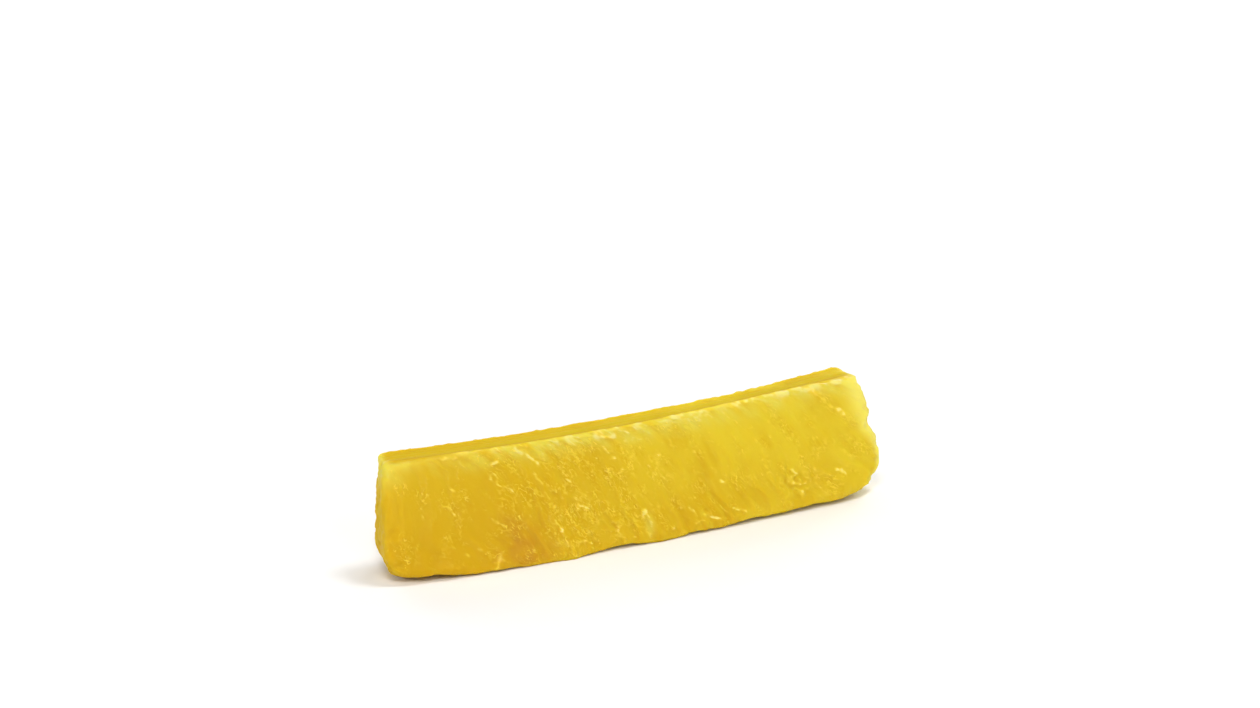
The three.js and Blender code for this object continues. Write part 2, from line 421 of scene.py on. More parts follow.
half_here = half_width(wedge[0], wedge[2] / DEPTH)
from_front = wedge[1] + half_here  # across the spear, from its front face
from_back = half_here - wedge[1]
grooves = grain(6, X / GROOVE["length"], Y / GROOVE["width"], 0)
long_tatters = grain(7, X / TATTERS["long"][0], from_core / TATTERS["long"][1], 0)
short_tatters = grain(8, strand / TATTERS["short"][0], from_core / TATTERS["short"][1], 0)
raggedness = TATTERS["mean"] + TATTERS["contrast"] * long_tatters + TATTERS["contrast"] * short_tatters
unevenness = 1 + LIP_REACH["unevenness"] * grain(20, X / LIP_REACH["grain"], 0, 0)
thickening = (LIP_REACH["thick"] - LIP_REACH["thin"]) * soft_step(X, *LIP_REACH["grows"])
lip_reach = LIP_REACH["thin"] + thickening * unevenness
closed = grain(26, X / LIP_GAP["grain"], 0, 0) + LIP_GAP["closing"] * soft_step(X, *LIP_GAP["closes"])
lip_gaps = LIP_GAP["left"] + (1 - LIP_GAP["left"]) * soft_step(closed, *LIP_GAP["gate"])
lip_band = bump(from_core, lip_reach) * front
lip_band += core_side * bump(from_front, LIP["lap"] * LIP["groove_width"])
back_lip = bump(from_core, BACK_LIP["reach"]) * back
back_lip += BACK_LIP["top_share"] * core_side * bump(from_back, LIP["groove_width"])
fine += core_side * GROOVE["relief"] * grooves
fine -= core_side * LIP["groove"] * bump(from_front - LIP["behind"], LIP["groove_width"])
lips = lip_band * LIP["relief"] + back_lip * BACK_LIP["relief"]
fine += lips * np.clip(raggedness, 0, TATTERS["most"])
print("points on the front lip:", int((lip_band > 0.5).sum()))

# %% [markdown]
# ## Dimples in the rind side
# The rind was cut away across the strands, and their soft ends leave dimples there. One noise of even
# grains makes them. A Displace modifier with a noise texture could do it too, but it would not know which
# side a point is on. They fade towards the table, where the spear's weight presses them flat.

# %% Dimples
DIMPLE = {"size": 1.5, "relief": 0.14, "off_table": (0.02, 0.5)}

dimples = grain(9, X / DIMPLE["size"], Y / DIMPLE["size"], 0)
fine += rind_side * DIMPLE["relief"] * dimples * soft_step(Z, *DIMPLE["off_table"])
print("points on the rind side:", int((rind_side > 0.5).sum()))

# %% [markdown]
# ## The two ends
# The ends were cut across the strands as well. Short veins, which are strands seen from their side, show
# there between rows of cells, the left end swells a little, and the knife left the right end's front edge
# in small teeth. The teeth are a noise that is cut off on its high side: it only digs in, so the spear's
# length stays true.

# %% Teeth, veins and cells in the ends
END_TEAR = {"grain": (4, 2.2, 2.2), "fine_grain": (3, 1.1, 1.1), "fine_share": 0.5, "highest": 0.2}
END_TEAR_RELIEF = {"anywhere": 0.5, "at_front": 0.55, "front_reach": 3.5, "off_table": (0.1, 1.5)}
LEFT_SWELL = {"height": 0.7, "z": 25, "reach": 9}
END_GRAIN_DEPTH = 3
END_VEIN = {"width": 1.7, "length": 5.5, "relief": 0.1, "paleness": 0.28}
END_CELLS = 1.3  # cells show more in an end than in a cut face

end_tears = grain_in_place(22, *END_TEAR["grain"])
end_tears += END_TEAR["fine_share"] * grain_in_place(23, *END_TEAR["fine_grain"])
at_front = END_TEAR_RELIEF["at_front"] * bump(from_front, END_TEAR_RELIEF["front_reach"]) * (X > 0)
tear_relief = END_TEAR_RELIEF["anywhere"] + at_front
tears = np.sqrt(ends) * tear_relief * np.minimum(end_tears, END_TEAR["highest"])
fine += tears * soft_step(Z, *END_TEAR_RELIEF["off_table"])
across_vein, along_vein = (Y + wander) / END_VEIN["width"], from_core / END_VEIN["length"]
end_veins = crest(grain(24, X / END_GRAIN_DEPTH, across_vein, along_vein))
end_cells = grain(25, X / END_GRAIN_DEPTH, Y / CELL["width"], from_core / CELL["length"])
fine += ends * (X < 0) * LEFT_SWELL["height"] * bump(Z - LEFT_SWELL["z"], LEFT_SWELL["reach"])
fine += ends * (END_VEIN["relief"] * (end_veins - CREST_MEAN) + END_CELLS * CELL["relief"] * end_cells)
print("teeth reach", round(float(-tears.min()), 2), "mm deep")

# %% [markdown]
# ## Crumbled edges of the rind side
# Flesh is thin along the two edges where the cut faces meet the rind side, and it crumbles there. A noise
# bites into the edge like the teeth did, with larger bites between the small ones. Moving the points by
# hand in sculpt mode would look as good on one spear, but a rule works for any size.

# %% Bites along the edges
BITE = {"grain": (1.3, 3, 3), "highest": 0.3, "relief": 0.28, "reach": 2.2, "rise": 0.7}
BITES_OFF_TABLE = (0.02, 0.6)
LARGE_BITE = {"length": 3.4, "width": 5, "share": 0.5}

beside_edge = cut + rind_side * bump(np.abs(wedge[1]) - half_here, BITE["reach"])
at_rind_edge = bump(from_core - DEPTH + ROUNDING["rind"] * BITE["rise"], BITE["reach"]) * beside_edge
bites = grain_in_place(10, *BITE["grain"])
bites += LARGE_BITE["share"] * grain(11, X / LARGE_BITE["length"], Y / LARGE_BITE["width"], 0)
bites = np.minimum(bites, BITE["highest"])
fine += at_rind_edge * BITE["relief"] * bites * soft_step(Z, *BITES_OFF_TABLE)
print("points on the rind side's edges:", int((at_rind_edge > 0.5).sum()))

# %% [markdown]
# ## Marks that this spear has
# Some marks are this spear's own: loose strands that bend out of their row, pale blobs and a small flap
# of flesh. They are placed on the front face, in millimetres along the spear and above the table.
# Each is a ridge along a short bow, a blob being one of no length. It adds to the relief, and to the
# paleness that the colour uses later. Tiny tubes of their own would also do, but they would lie on the
# flesh instead of growing out of it.

# %% Loose strands and blobs on the front face
LOOSE_STRANDS = [  # from x, z, to x, z, bow to the right, half width, height
    (-46.8, 27.7, -45.2, 28, 0, 0.55, 0.28), (-56.6, 27.4, -56.6, 25.5, 0, 0.35, 0.2),
    (-58.8, 22.8, -58, 22.1, 0, 0.45, 0.22), (-61.7, 19, -58.6, 16.2, -0.5, 0.45, 0.26),
    (-58.6, 16.2, -58, 12.7, -0.3, 0.35, 0.12), (-68.4, 19.1, -67.7, 18.8, 0, 0.45, 0.18),
    (-67.4, 18.2, -67.3, 16.9, 0, 0.3, 0.12), (-46, 22.2, -41.7, 20, -0.4, 0.35, 0.28),
    (-51.1, 20.9, -47.2, 19.2, -0.4, 0.4, 0.1), (-50.7, 17.1, -49.1, 16.9, 0.5, 0.35, 0.1),
    (-48.3, 14, -45.2, 11.6, 0, 0.35, 0.22), (-42.6, 10, -42.6, 10, 0, 0.45, 0.16),
    (-60.3, 13.3, -60.3, 8.6, 0.3, 0.35, 0.13), (-60.2, 8.3, -60.2, 8.3, 0, 0.5, 0.22),
    (-70.1, 10.4, -70.4, 8.7, 0, 0.35, 0.12), (-53.3, 7, -49.7, 4.4, 0, 0.5, 0.12),
    (-46.6, 25.3, -44.5, 23.4, 0, 0.35, 0.12), (-60.6, 31, -57, 30.6, 0, 0.6, 0.16),
    (-39.4, 30.6, -36.1, 28.5, 0.2, 0.6, 0.28), (-36.1, 28.5, -33.2, 25.6, -0.2, 0.5, 0.3),
    (-34.8, 23.6, -32.4, 20.3, -0.2, 0.45, 0.16), (-32, 18.8, -31.1, 16.1, 0, 0.4, 0.14),
    (-32.5, 13.1, -30.9, 10.3, 0, 0.4, 0.1), (-29.7, 10.8, -28.4, 8, 0, 0.4, 0.24),
    (-28.4, 7.9, -28.4, 7.9, 0, 0.5, 0.28), (-27.4, 13.3, -27.8, 3.8, 0.4, 0.35, 0.11),
    (-26.2, 25.6, -23.5, 25.3, -1, 0.35, 0.16), (-24.7, 21, -24, 20, 0, 0.4, 0.26),
    (-23, 19.3, -23, 19.3, 0, 0.4, 0.16), (-26.8, 16.1, -26.8, 16.1, 0, 0.5, 0.24),
    (-21.8, 17.2, -22.1, 14.1, 0.8, 0.3, 0.15), (-21.8, 17.2, -22.1, 14.1, -0.8, 0.3, 0.13),
    (-22.8, 12.3, -19.6, 12.3, -0.8, 0.35, 0.28), (-33.6, 9.1, -33.6, 9.1, 0, 0.45, 0.24),
    (-35.1, 10.8, -35.1, 10.8, 0, 0.4, 0.16), (-36.9, 13.4, -36.9, 13.4, 0, 0.4, 0.12),
    (-18.6, 8.6, -18.6, 8.6, 0, 0.35, 0.2), (-16.2, 6.5, -16.2, 6.5, 0, 0.4, 0.14),
    (-23.5, 4, -19.8, 3.3, -0.7, 0.35, 0.26), (-20.6, 23, -20.6, 23, 0, 0.4, 0.2),
    (-15.5, 24.7, -15.5, 24.7, 0, 0.45, 0.22), (-11.3, 24.3, -9.9, 24, 0, 0.4, 0.26),
    (-12.8, 27.4, -11.8, 25.8, 0, 0.4, 0.18), (-15.2, 30.4, -10.2, 29.6, 0, 0.8, 0.22),
    (-8.2, 31.2, -4.8, 29.4, -0.3, 0.4, 0.2), (-11.8, 19.1, -11.8, 19.1, 0, 0.5, 0.24),
    (-12.5, 15.9, -12.5, 15.9, 0, 0.4, 0.2), (-7.7, 21.4, -8.3, 18.5, 0.3, 0.45, 0.22),
    (-8.5, 10.3, -8.5, 10.3, 0, 0.4, 0.16), (-6.4, 11.7, -6.4, 11.7, 0, 0.4, 0.12),
    (-11.1, 6.7, -9.2, 3.1, 0.8, 0.35, 0.16), (-9.6, 6.9, -10.9, 3.4, 0.8, 0.3, 0.15),
    (-6.2, 2.7, -6.2, 2.7, 0, 0.55, 0.26), (-2.6, 8.8, -2.9, 7.4, 0, 0.8, 0.42),
    (-2.2, 8.6, -0.8, 4.5, -0.3, 0.35, 0.26), (15.2, 31.9, 21.1, 31.5, 0, 0.7, 0.2),
    (17.8, 29.7, 17.8, 29.7, 0, 0.5, 0.18), (25.6, 30.6, 30.5, 27.1, 0.3, 0.4, 0.14),
    (22.3, 24.2, 22.3, 24.2, 0, 0.4, 0.18), (14.6, 21.8, 15.6, 21.5, 0, 0.45, 0.24),
    (3.6, 22.8, 3, 20.7, 0, 0.45, 0.26), (3.4, 17.7, 5.6, 15.5, 0, 0.45, 0.14),
    (19.5, 17.9, 21.6, 15.1, 0, 0.5, 0.12), (22.5, 12.8, 23.8, 12.4, 0, 0.5, 0.3),
    (40.2, 21.9, 40.2, 21.9, 0, 0.5, 0.22), (35.1, 22, 37.9, 19.8, 0, 0.5, 0.1),
    (11.5, 7.7, 13.7, 5.4, 0, 0.4, 0.18), (16.1, 5.1, 21.1, 3.2, 0.2, 0.45, 0.26),
    (13.1, 3.1, 15.5, 3.8, -0.2, 0.35, 0.2), (21.9, 6.5, 23.6, 4.2, 0, 0.35, 0.2),
    (25.5, 5.1, 29.6, 4, 0, 0.45, 0.26), (41.7, 32.6, 47.5, 32.4, 0, 0.7, 0.22),
    (52, 32.5, 55.5, 31.9, 0, 0.8, 0.26), (63.5, 25.5, 65.5, 23.7, -0.5, 0.5, 0.28),
    (58, 25.8, 58, 25.8, 0, 0.4, 0.14), (55.5, 19.2, 55.5, 19.2, 0, 0.5, 0.24),
    (61.3, 9.4, 63.9, 7.7, -0.6, 0.55, 0.34), (46.2, 12, 48.1, 10.7, 0, 0.45, 0.28),
    (48.6, 7.6, 50.9, 7.9, 0, 0.45, 0.28), (48.8, 5.9, 48.8, 5.9, 0, 0.4, 0.18),
    (43.8, 12.7, 41.9, 9.4, 0.6, 0.8, 0.14), (53.8, 7.3, 57.8, 3.5, 0.4, 0.5, 0.13),
    (52.2, 6.6, 55.6, 3, 0.4, 0.5, 0.1), (7.4, 31.7, 13.1, 31.2, 0, 0.6, 0.2),
    (30.1, 32, 36, 32.2, 0, 0.6, 0.24), (60, 32.6, 66.2, 32.5, 0, 0.6, 0.16),
]
FULLY_PALE = 0.25  # a ridge this high is as pale as any
LIFT = 1.4  # torn strands stand this much higher than their paleness tells
MARK_SCALE = 0.85  # of the widths and heights in the list
UNSTEADY = {"grain": (1.5, 3, 1.5), "far": 0.5}  # so that no mark has a smooth outline
BEADS = {"grain": (1.1, 2, 1.1), "mean": 0.8, "contrast": 1.2, "least": 0.2, "most": 1.4}

unsteady_x = X + UNSTEADY["far"] * grain_in_place(16, *UNSTEADY["grain"])
unsteady_z = Z + UNSTEADY["far"] * grain_in_place(17, *UNSTEADY["grain"])
beads = BEADS["mean"] + BEADS["contrast"] * grain_in_place(18, *BEADS["grain"])
beads = np.clip(beads, BEADS["least"], BEADS["most"])


def along_bow(start_x, start_z, end_x, end_z, bow):
    """Distance of every point from a bow between two places on a cut face."""
    run, rise = end_x - start_x, end_z - start_z
    span = max(math.hypot(run, rise), 0.01)
    share = np.clip(((unsteady_x - start_x) * run + (unsteady_z - start_z) * rise) / span**2, 0, 1)
    sideways = 4 * bow * share * (1 - share) / span
    return np.hypot(unsteady_x - start_x - share * run - sideways * rise,
                    unsteady_z - start_z - share * rise + sideways * run)


pale = np.zeros_like(X)
for *course_of_mark, width, height in LOOSE_STRANDS:
    ridge = bump(along_bow(*course_of_mark), MARK_SCALE * width)
    raised = MARK_SCALE * height * ridge * beads * front
    fine += LIFT * raised
    pale += raised / FULLY_PALE
print(len(LOOSE_STRANDS), "loose strands and blobs")

# %% [markdown]
# ## Loose strands on the back
# The photo can't show the back face, but the same knife cut it, so it has loose strands too. Nothing says
# where they are, so a random draw places them, most of them along the fan. Its fixed seed gives the same
# spear each time, and the same bow as on the front makes each strand.

# %% Loose strands, drawn from a fixed seed
BACK_STRAND_COUNT = 64
BACK_PLACES = {"x": (-68, 68), "z": (3, 31), "lowest": 2}
BACK_LENGTHS, LENGTH_SPREAD = (0, 0.5, 2, 3.5), (0.7, 1.3)
BACK_WIDTHS, BACK_HEIGHTS = (0.3, 0.5), (0.12, 0.3)
BACK_TURN, BACK_BOW = 0.35, 0.3  # how far strands turn from the fan, in radians, and bow

back_draw = random.Random(5)
for _ in range(BACK_STRAND_COUNT):
    x, z = back_draw.uniform(*BACK_PLACES["x"]), back_draw.uniform(*BACK_PLACES["z"])
    length = back_draw.choice(BACK_LENGTHS) * back_draw.uniform(*LENGTH_SPREAD)
    slope = math.atan(float(lean(np.array(x)))) + back_draw.gauss(0, BACK_TURN)
    bow = back_draw.gauss(0, BACK_BOW)
    width, height = back_draw.uniform(*BACK_WIDTHS), back_draw.uniform(*BACK_HEIGHTS)
    end_x, end_z = x + length * math.sin(slope), max(z - length * math.cos(slope), BACK_PLACES["lowest"])
    raised = height * bump(along_bow(x, z, end_x, end_z, bow), width) * beads * back
    fine += LIFT * raised
    pale += raised / FULLY_PALE
print(BACK_STRAND_COUNT, "loose strands on the back")

# %% [markdown]
# ## Creases
# Near the right end the flesh is creased between two fruitlets. A crease is a ridge with a valley beside
# it, both measured from a line. Its ridge is painted paler, a painted highlight, and a deeper yellow past
# it, over the valley, is painted shade. An edge loop pulled up would make a ridge too, but this line
# crosses the columns of the block at a slant, and no loop runs that way.

# %% Creases
CREASES = [  # from place, to place, half width, relief
    ((56.6, 31.6), (65, 24.2), 0.4, 0.17), ((63.6, 15.6), (68, 11.6), 0.6, 0.1),
]
CREASE_FADE = 0.1  # share of its length over which a crease begins and ends
CREASE_VALLEY = 0.5  # of the ridge's height
CREASE_PAINTED_LIGHT = 0.35


def past_line(start, end):
    """Distance to the right of the line through two places, and the share of the way along it."""
    run, rise = end[0] - start[0], end[1] - start[1]
    span = math.hypot(run, rise)
    share = ((unsteady_x - start[0]) * run + (unsteady_z - start[1]) * rise) / span**2
    return -((unsteady_x - start[0]) * rise - (unsteady_z - start[1]) * run) / span, share


golden_and_shade = np.zeros_like(X)  # where the flesh is a deeper, fuller yellow, and where that yellow is painted shade
for start, end, width, height in CREASES:
    distance, share = past_line(start, end)
    within = soft_step(share, -CREASE_FADE, CREASE_FADE)
    within *= 1 - soft_step(share, 1 - CREASE_FADE, 1 + CREASE_FADE)
    within *= front
    ridge = bump(distance + width, width) * beads
    fine += within * height * (ridge - CREASE_VALLEY * bump(distance - width, width))
    # painted highlight on the ridge, and painted shade over the valley past it
    pale += within * CREASE_PAINTED_LIGHT * ridge
    golden_and_shade += within * CREASE_PAINTED_LIGHT * bump(distance - 2 * width, 2 * width)
print("creases:", len(CREASES))

# %% [markdown]
# ## A fold and an eye's root
# Beside the bruise the flesh folds over itself, and low at the right the root of an eye was left in: its
# rings curl round a small hollow. The fold is a soft step across a line. The root is a spiral wave, which
# is a sine of the distance plus the angle. Both add to the same relief as the strands, so they grow out
# of the flesh without a seam. The root's raised rings are painted paler, a painted highlight, and its
# hollow a deeper gold, a painted shade.

# %% The fold beside the bruise, and the eye's root
FOLD = {"top": (-47.1, 5.6), "foot": (-49.3, 1.2), "height": 0.35, "edge": 0.35, "reach": 6, "fade": 0.3}
FOLD_LINE = {"past": 0.5, "width": 0.45, "paleness": 0.7}
EYE_ROOT = {"x": 48, "z": 9, "reach": (6.0, 4.2), "relief": 0.3, "rings": 2.1, "ring_reach": 0.9}
EYE_HOLLOW = {"depth": 0.14, "reach": 0.6}
EYE_ROOT_PAINTED_LIGHT = {"pale": 0.75, "golden_and_shade": 0.5, "reach": 0.55}
NO_CIRCLE = {"grain": (2.2, 4, 2.2), "far": 0.6}  # makes the root's rings uneven

distance, share = past_line(FOLD["top"], FOLD["foot"])
beside = soft_step(share, -FOLD["fade"], FOLD["fade"]) * front
fold_edge = soft_step(distance, -FOLD["edge"], FOLD["edge"])
fine += beside * FOLD["height"] * fold_edge * bump(distance, FOLD["reach"])
pale += beside * FOLD_LINE["paleness"] * bump(distance - FOLD_LINE["past"], FOLD_LINE["width"])
beside_root, above_root = X - EYE_ROOT["x"], Z - EYE_ROOT["z"]
from_root = np.hypot(beside_root / EYE_ROOT["reach"][0], above_root / EYE_ROOT["reach"][1])
from_root *= 1 + NO_CIRCLE["far"] * grain_in_place(27, *NO_CIRCLE["grain"])
turn = np.arctan2(above_root, beside_root)
swirl = np.sin(2 * math.pi * from_root * EYE_ROOT["rings"] + turn) * bump(from_root, EYE_ROOT["ring_reach"])
swirl *= front
fine += EYE_ROOT["relief"] * swirl - EYE_HOLLOW["depth"] * bump(from_root, EYE_HOLLOW["reach"]) * front
# painted highlight on the raised rings, and painted shade in the hollow
pale += EYE_ROOT_PAINTED_LIGHT["pale"] * np.clip(swirl, 0, 1) * beads
golden_and_shade += EYE_ROOT_PAINTED_LIGHT["golden_and_shade"] * bump(from_root, EYE_ROOT_PAINTED_LIGHT["reach"]) * front
print("points on the eye's root:", int((from_root < 1).sum()))

# %% [markdown]
# ## Scattered torn spots
# Between the marks, the knife tore out tiny bits and raised others. They glint in the photographed light.
# The raised spots and the torn threads are also coloured paler: partly their own whiter flesh, partly a
# painted glint.
# A seeded random draw scatters them, thick in the middle left of each cut face and thin elsewhere, so
# every run gives the same spear.

# %% Seeded torn spots
SPOT_COUNT = 360
SPOT_CROWD = {"x": -24, "reach": 20, "share": 0.55, "z": (2, 30)}
SPOT_ELSEWHERE = {"x": (-70, 72), "z": (2, 31)}
SPOT_LENGTHS, SPOT_WIDTHS, SPOT_HEIGHTS = (0.4, 0.8), (0.3, 0.45), (0.06, 0.18)
RAISED_OR_TORN_OUT = (-1, 1, 1)  # one in three was torn out
SPOT_TURN = 0.5
SPOT_NEAR = 3  # a spot changes nothing further off than this
SPOT_PALENESS_AND_GLINT, THREAD_PALENESS_AND_GLINT = 0.6, 0.5
PALEST_SPOT = 0.2

draw = random.Random(11)


def spot_place():
    if draw.random() < SPOT_CROWD["share"]:
        return draw.gauss(SPOT_CROWD["x"], SPOT_CROWD["reach"]), draw.uniform(*SPOT_CROWD["z"])
    return draw.uniform(*SPOT_ELSEWHERE["x"]), draw.uniform(*SPOT_ELSEWHERE["z"])


spots = np.zeros_like(X)
order = np.argsort(X)
sorted_x = X[order]
for number in range(SPOT_COUNT):
    x, z = spot_place()
    length, width = draw.uniform(*SPOT_LENGTHS), draw.uniform(*SPOT_WIDTHS)
    height = draw.choice(RAISED_OR_TORN_OUT) * draw.uniform(*SPOT_HEIGHTS)
    slope = math.atan(float(lean(np.array(x)))) + draw.gauss(0, SPOT_TURN)
    side = front if number % 2 else back
    near = order[np.searchsorted(sorted_x, x - SPOT_NEAR):np.searchsorted(sorted_x, x + SPOT_NEAR)]
    down = (z - Z[near]) * math.cos(slope) + (X[near] - x) * math.sin(slope)
    sideways = (X[near] - x) * math.cos(slope) - (z - Z[near]) * math.sin(slope)
    spots[near] += height * np.exp(-((down / length) ** 2) - (sideways / width) ** 2) * side[near]
fine += spots
# paler raised spots and threads: partly their own whiter flesh, partly a painted glint
pale += SPOT_PALENESS_AND_GLINT * np.clip(spots / PALEST_SPOT, 0, 1) + THREAD_PALENESS_AND_GLINT * threads
print("spots stand", round(float(spots.max()), 2), "mm proud at most")

# %% [markdown]
# ## The finished surface
# The points move outwards by the fine relief, but never under the table, so the underside stays flat
# where the spear rests. A Displace modifier would do this too, but here every point's new place can be
# measured at once.

# %% Move the points
finished = form + fine * normals
finished[2] = np.maximum(finished[2], low[2])
mesh.vertices.foreach_set("co", (finished * MM).T.ravel())
print("the finished spear is", (np.ptp(finished, axis=1)).round(1), "mm")

# %% [markdown]
# ## Where the flesh is bruised or golden, and where shade is painted
# The fruit isn't one yellow. A soft brownish bruise lies low at the left, and some spots are a fuller
# gold. The same two colours also carry painted shade: brown in a line behind the front lip, and deeper
# gold in the groove behind the lip and between the lip's pale tatters. Each is worked out here as a share
# from 0 to 1 at every point: a sum of soft patches at named places and of bands along the lip. A painted
# picture could hold them too, but it would blur small things and need a map of the surface.

# %% Bruise and golden spots, and painted shade along the front lip
BRUISES = [  # x, z, reach along x, reach along z, strength
    (-40, 6, 9, 6, 0.62), (-42.5, 13, 5, 4, 0.3), (-58.5, 17.5, 2.5, 4.5, 0.3), (-37, 1.5, 9, 3, 0.3),
]
BRUISE_CLOUD = {"grain": (3.5, 4, 3.5), "mean": 0.9, "contrast": 0.6}
BRUISE_BELOW = 0.5  # how much of it the rind side shows
VALLEY = {"behind": 2.5, "width": 1.3, "share": 0.5}  # the shaded line behind the front lip
GOLDEN_PATCHES = [(70, 14, 2.2, 2.6, 0.22), (16.2, 12.8, 1.6, 6, 0.3), (31, 14, 2, 5, 0.2)]
PAINTED_GROOVE_SHADE = 0.6
PAINTED_SHADE_BETWEEN_TATTERS = {"share": 0.1, "below": 0.5}  # between the lip's pale tatters


def patch(x, z, reach_x, reach_z, strength):
    return strength * bump((X - x) / reach_x, 1) * bump((Z - z) / reach_z, 1)


bruise_and_lip_shade = np.zeros_like(X)
for place in BRUISES:
    bruise_and_lip_shade += patch(*place)
bruise_and_lip_shade *= BRUISE_CLOUD["mean"] + BRUISE_CLOUD["contrast"] * grain_in_place(15, *BRUISE_CLOUD["grain"])
bruise_and_lip_shade = np.clip(bruise_and_lip_shade, 0, 1) * (front + BRUISE_BELOW * rind_side)
# painted shade: a brownish line in the channel just behind the front lip, laid on with the bruise
bruise_and_lip_shade += VALLEY["share"] * core_side * bump(from_front - VALLEY["behind"], VALLEY["width"])
for place in GOLDEN_PATCHES:
    golden_and_shade += patch(*place) * front
# painted shade in the groove behind the front lip and between the lip's pale tatters
golden_and_shade += PAINTED_GROOVE_SHADE * core_side * bump(from_front - LIP["behind"], LIP["groove_width"])
golden_and_shade += PAINTED_SHADE_BETWEEN_TATTERS["share"] * lip_band * np.clip(PAINTED_SHADE_BETWEEN_TATTERS["below"] - raggedness, 0, 1)
print("points in the bruise:", int((bruise_and_lip_shade > 0.3).sum()))

# %% [markdown]
# ## Where it is green or pale, and where light and shade are painted
# The flesh near the core is paler and greener, and a painted sheen gives the left end's rounded top corner
# the same greenish pale. The thin right end has a painted glow, as if light shone through it. The channel
# has lengthwise tones and painted shade, deepest behind the front lip, and torn lips are nearly cream.
# These shares are made of the same weights as the relief, so that a pale lip is pale exactly where it
# stands up. Colouring by height alone would make every crest pale, also the wet ones.

# %% Greenish flesh, the painted glow at the right end, the channel and its painted shade, and the pale lips
GREEN_BAND = {"reach": 5.2, "left": 0.65, "grows": (-62, -30)}  # below the core side
GREEN_CLOUD = {"grain": (3, 5, 4), "mean": 0.8, "contrast": 0.8}
# the first patch is a painted sheen on the left end's rounded top corner, the second a greenish spot in the
# flesh
GREEN_SPOT_AND_CORNER_SHEEN = [(-76, 31, 5, 5, 0.5), (-1.3, 5, 1.6, 3.5, 0.7)]
RIGHT_END_GLOW = {"thin": 1.6, "thick": 6.5, "grows": (8, 26), "fade": 0.75, "on_end": (0.6, 1)}
CHANNEL_STREAKS = {"mean": 0.85, "contrast": 0.6, "least": 0.4}
CHANNEL_SHADE_FADE = {"from": 3, "to": 7, "paler": 0.5}
PALE_LIP = {"share": 0.8, "slope": 1.3, "start": 0.1, "least": 0.1, "most": 0.85}
PALE_CRESTS = {"share": 0.2, "above": 0.2}

greenish = GREEN_BAND["left"] + (1 - GREEN_BAND["left"]) * soft_step(X, *GREEN_BAND["grows"])
greenish = bump(from_core, GREEN_BAND["reach"]) * greenish
greenish *= GREEN_CLOUD["mean"] + GREEN_CLOUD["contrast"] * grain_on_strands(21, *GREEN_CLOUD["grain"])
for place in GREEN_SPOT_AND_CORNER_SHEEN:
    greenish += patch(*place) * (1 - back)
greenish += END_VEIN["paleness"] * end_veins * ends
greenish *= 1 - core_side
# painted glow: the thin right end is paler, as if light shone through it
rim_reach = RIGHT_END_GLOW["thin"] + (RIGHT_END_GLOW["thick"] - RIGHT_END_GLOW["thin"]) * soft_step(Z, *RIGHT_END_GLOW["grows"])
rim = bump(HALF_LENGTH - wedge[0], rim_reach) * (1 - core_side)
rim *= 1 - RIGHT_END_GLOW["fade"] * soft_step(ends, *RIGHT_END_GLOW["on_end"])
# painted shade: the channel's tint is deepest behind the front lip and halves towards the back edge, where
# the far slope faces the light
channel_shade_fade = 1 - CHANNEL_SHADE_FADE["paler"] * soft_step(from_front, CHANNEL_SHADE_FADE["from"], CHANNEL_SHADE_FADE["to"])
channel_streaks = np.clip(CHANNEL_STREAKS["mean"] + CHANNEL_STREAKS["contrast"] * grooves,
                          CHANNEL_STREAKS["least"], 1)
channel = core_side * (1 - lip_band) * channel_streaks * channel_shade_fade
tatters = np.clip(PALE_LIP["slope"] * raggedness - PALE_LIP["start"], PALE_LIP["least"], PALE_LIP["most"])
lip_pale = BACK_LIP["paleness"] * back_lip * np.clip(raggedness, 0, 1)
lip_pale += PALE_LIP["share"] * lip_band * lip_gaps * tatters
pale = pale + lip_pale + PALE_CRESTS["share"] * (crests - PALE_CRESTS["above"]) * cut
print("points as pale as a torn strand:", int((pale > 0.9).sum()))

# %% [markdown]
# ## What the material will read
# These shares are stored on the mesh as attributes, and so are the strand coordinates and how juicy and
# how torn each point is. Attributes follow the surface wherever it goes, which plain object coordinates
# could not do.

# %% Store the attributes, and place the finished spear
JUICY = {"rind_side": 0.4, "ends": 0.1}
TORN_ENDS = 0.5
TORN_BELOW_LIP = (1, 3)


def store(name, values):
    attribute = mesh.attributes.new(name, "FLOAT", "POINT")
    attribute.data.foreach_set("value", values.astype(np.float32))


store("pale", np.clip(pale, 0, 1))
store("bruise_and_lip_shade", bruise_and_lip_shade)
store("channel", channel)
store("golden_and_shade", np.clip(golden_and_shade, 0, 1))
store("rim", np.clip(rim, 0, 1))
store("greenish", np.clip(greenish, 0, 1))
store("juicy", np.clip(cut + JUICY["rind_side"] * rind_side + JUICY["ends"] * ends, 0, 1))
store("torn", torn_share * (cut + TORN_ENDS * ends) * soft_step(from_core, *TORN_BELOW_LIP))
course = mesh.attributes.new("course", "FLOAT_VECTOR", "POINT")
course.data.foreach_set("vector", (np.stack([strand, Y, from_core]) * MM).T.ravel().astype(np.float32))
mesh.polygons.foreach_set("use_smooth", [True] * len(mesh.polygons))
mesh.update()
spear = bpy.data.objects.new("spear_flesh", mesh)
bpy.context.scene.collection.objects.link(spear)
print("attributes:", [attribute.name for attribute in mesh.attributes])

# %% [markdown]
# ## Helpers for the material
# A material is a graph of nodes. A few tiny functions keep its code short: one makes a node and fills its
# sockets, and others do arithmetic, turn a gray pattern into a range of numbers, blend two colours and
# read an attribute. They return a socket, so that one can be put into the next, as in a formula.

# %% Node helpers
flesh = bpy.data.materials.new("wet_pineapple_flesh")
flesh.use_nodes = True
nodes, links = flesh.node_tree.nodes, flesh.node_tree.links


